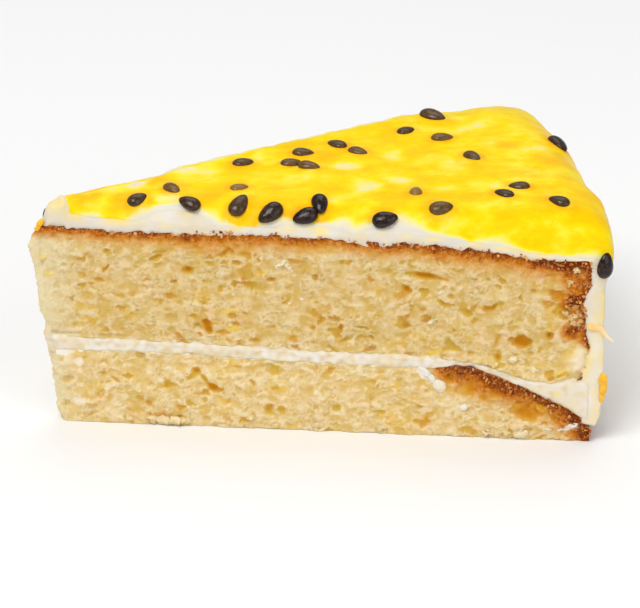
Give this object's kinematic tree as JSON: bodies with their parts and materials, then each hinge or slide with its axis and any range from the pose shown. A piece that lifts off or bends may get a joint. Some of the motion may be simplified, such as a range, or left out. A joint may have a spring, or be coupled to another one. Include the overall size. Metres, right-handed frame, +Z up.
{
  "type": "passion fruit cake slice",
  "caption": "Wedge slice of a layered sponge cake with cream filling, iced top and side, and a passion fruit curd topping with seeds.",
  "frame": {"origin": "on the flat base, on the slice's middle line, 70 mm from the centre of the whole cake", "axes": "+X from the tip to the iced rim along the slice's middle line, +Z up, +Y towards the back cut face"},
  "size_m": [0.1192, 0.0747, 0.0519],
  "materials": {
    "sponge": "matt, open crumb",
    "icing": "soft satin",
    "topping": "wet gloss",
    "seeds": "wet gloss"
  },
  "bodies": {
    "root": {"lower_sponge": "sponge", "upper_sponge": "sponge", "cream_filling": "icing", "icing": "icing", "passion_topping": "topping"}
  },
  "joints": []
}
